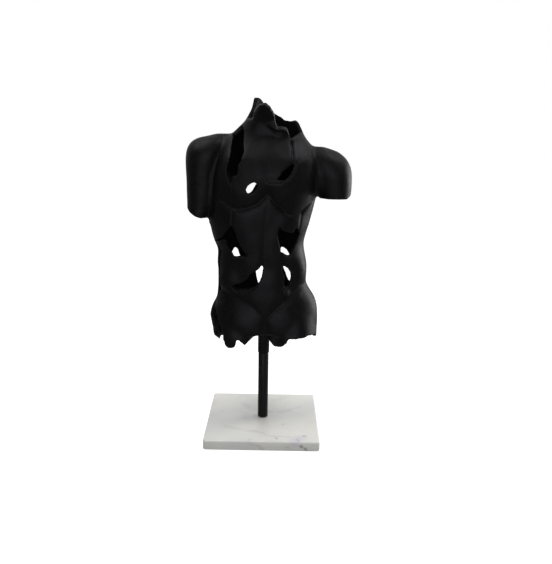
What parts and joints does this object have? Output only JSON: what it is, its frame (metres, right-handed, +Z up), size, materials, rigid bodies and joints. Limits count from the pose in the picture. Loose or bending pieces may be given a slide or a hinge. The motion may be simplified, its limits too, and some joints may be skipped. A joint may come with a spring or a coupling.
{
  "type": "torso sculpture",
  "caption": "Hollow shattered headless torso in black-painted cast aluminium, on a round bar set in a square marble plinth.",
  "frame": {"origin": "centre of the plinth's underside, on the surface that it stands on", "axes": "+Z up, the figure faces -Y, +X towards the viewer's right"},
  "size_m": [0.2114, 0.15, 0.439],
  "materials": {
    "torso_cast": "near-black paint, satin to matt, over a fine sand-cast texture",
    "rod_metal": "near-black paint, satin",
    "plinth_marble": "honed pale grey marble with faint grey-violet veins"
  },
  "bodies": {
    "root": {"torso": "torso_cast", "rod": "rod_metal", "plinth": "plinth_marble"}
  },
  "joints": []
}
